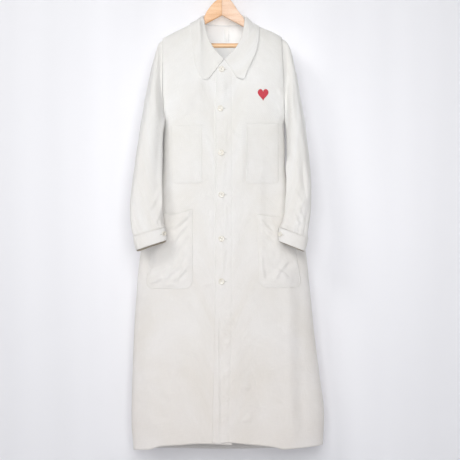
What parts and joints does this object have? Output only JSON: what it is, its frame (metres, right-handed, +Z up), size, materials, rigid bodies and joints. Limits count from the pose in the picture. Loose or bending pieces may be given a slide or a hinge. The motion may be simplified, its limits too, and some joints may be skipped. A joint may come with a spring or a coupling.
{
  "type": "medical coat on a wooden hanger",
  "caption": "Long cloth coat with a turned-down collar, patch pockets and a buttoned front, open at the neck, cuffs and hem, hung on a hanger by its hook.",
  "frame": {"origin": "where the inside top of the hanger's hook bears on a rail; the coat hangs below it", "axes": "+Z up, -Y out of the coat's buttoned front, +X towards the wearer's left side"},
  "size_m": [0.5769, 0.1616, 1.4375],
  "materials": {
    "cloth": "matt undyed cotton weave",
    "button": "soft gloss, shell look",
    "badge": "matt red felt",
    "wood": "clear varnished beech",
    "steel": "plated wire"
  },
  "bodies": {
    "root": {"back": "cloth", "badge": "badge", "chest_pocket_left": "cloth", "chest_pocket_right": "cloth", "collar": "cloth", "cuff_button_left": "button", "cuff_button_right": "button", "cuff_left": "cloth", "cuff_right": "cloth", "front_button_1": "button", "front_button_2": "button", "front_button_3": "button", "front_button_4": "button", "front_button_5": "button", "front_button_6": "button", "front_left": "cloth", "front_right": "cloth", "hanger_arm_left": "wood", "hanger_arm_right": "wood", "hanging_loop": "cloth", "hip_pocket_left": "cloth", "hip_pocket_right": "cloth", "hook": "steel", "sleeve_left": "cloth", "sleeve_right": "cloth", "trouser_bar": "wood"}
  },
  "joints": []
}
